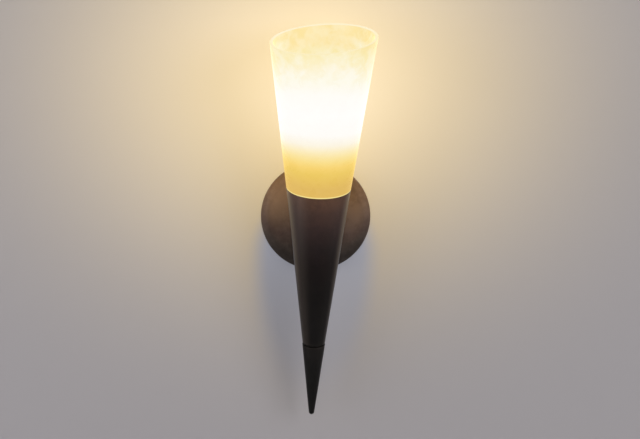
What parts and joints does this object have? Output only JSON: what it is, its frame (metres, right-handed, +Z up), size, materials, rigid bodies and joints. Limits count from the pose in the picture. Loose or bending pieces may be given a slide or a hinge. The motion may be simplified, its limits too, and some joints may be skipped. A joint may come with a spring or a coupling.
{
  "type": "torch sconce",
  "caption": "Wall light shaped as a tapered torch, leaning off a round backplate, with an open clouded glass cone over a bronze metal cone that ends in a pointed finial.",
  "frame": {"origin": "centre of the round backplate, on the wall, which is also the centre of the wall strap's slots", "axes": "+Z up, the wall is the plane y = 0 and the torch stands out toward -Y, +X to the right seen from the room"},
  "size_m": [0.127, 0.1525, 0.4625],
  "materials": {
    "bronze": "satin dark bronze",
    "bronze_plate": "satin brown bronze",
    "clouded_glass": "thick clouded amber glass, lit",
    "zinc_steel": "zinc plated",
    "brass": "plain",
    "pipe": "yellow zinc plated, threaded",
    "copper": "bare copper",
    "green_screw": "green dyed",
    "porcelain": "glazed white",
    "phenolic": "moulded",
    "bushing_plastic": "moulded",
    "black_lead": "insulation",
    "white_lead": "insulation",
    "felt": "grey felt",
    "fibre": "vulcanised fibre",
    "frosted_glass": "frosted inside, lit",
    "clear_glass": "clear",
    "black_glass": "fused black glass",
    "lamp_cap_metal": "rolled",
    "solder": "solder",
    "tungsten": "hot wire"
  },
  "bodies": {
    "wall_strap": {"box_strap": "zinc_steel", "strap_pivot": "zinc_steel"},
    "fixture": {"plate_strap": "zinc_steel", "plate_studs": "zinc_steel", "stud_nuts": "zinc_steel", "ground_screw": "green_screw", "ground_wire": "copper", "backplate": "bronze_plate", "cap_washers": "bronze", "cap_nuts": "bronze", "stem_collar": "bronze", "stem_nipple": "pipe", "nipple_nuts": "zinc_steel", "nipple_washers": "zinc_steel", "nipple_bushings": "bushing_plastic", "saddle_washer": "zinc_steel", "torch_cone": "bronze", "centre_rod": "pipe", "finial": "bronze", "seat_plate": "zinc_steel", "rod_washer": "zinc_steel", "rod_nut": "zinc_steel", "glass_felt": "felt", "lampholder_body": "porcelain", "holder_bushing": "brass", "contact_disc": "phenolic", "screw_shell": "brass", "centre_contact": "brass", "lead_black": "black_lead", "lead_white": "white_lead"},
    "glass": {"glass_shade": "clouded_glass"},
    "fibre_washer": {"ring_washer": "fibre"},
    "ring": {"shade_ring": "phenolic"},
    "lamp_contact": {"lamp_eyelet": "solder", "lamp_insulator": "black_glass"},
    "lamp": {"lamp_cap": "lamp_cap_metal", "lamp_globe": "frosted_glass", "lamp_stem": "clear_glass", "lamp_filament": "tungsten"}
  },
  "joints": [
    {"name": "level_swivel", "type": "hinge", "parent": "wall_strap", "child": "fixture", "pos_m": [0, 0, 0], "axis": [0, -1, 0], "range_deg": [-20, 20]},
    {"name": "glass_lift", "type": "slide", "parent": "fixture", "child": "glass", "axis": [0, -0.1392, 0.9903], "range_m": [0, 0.03]},
    {"name": "ring_climb", "type": "slide", "parent": "glass", "child": "fibre_washer", "axis": [0, -0.1392, 0.9903], "range_m": [0, 0.0121]},
    {"name": "ring_turn", "type": "hinge", "parent": "fibre_washer", "child": "ring", "pos_m": [0, -0.062, 0], "axis": [0, -0.1392, 0.9903], "range_deg": [0, 1440]},
    {"name": "lamp_climb", "type": "slide", "parent": "fixture", "child": "lamp_contact", "axis": [0, -0.1392, 0.9903], "range_m": [0, 0.0182]},
    {"name": "lamp_turn", "type": "hinge", "parent": "lamp_contact", "child": "lamp", "pos_m": [0, -0.062, 0], "axis": [0, -0.1392, 0.9903], "range_deg": [0, 1800]}
  ],
  "couplings": [
    {"joint": "ring_climb", "follows": "ring_turn", "m_per_rad": 0.00047746},
    {"joint": "lamp_climb", "follows": "lamp_turn", "m_per_rad": 0.00057751}
  ]
}
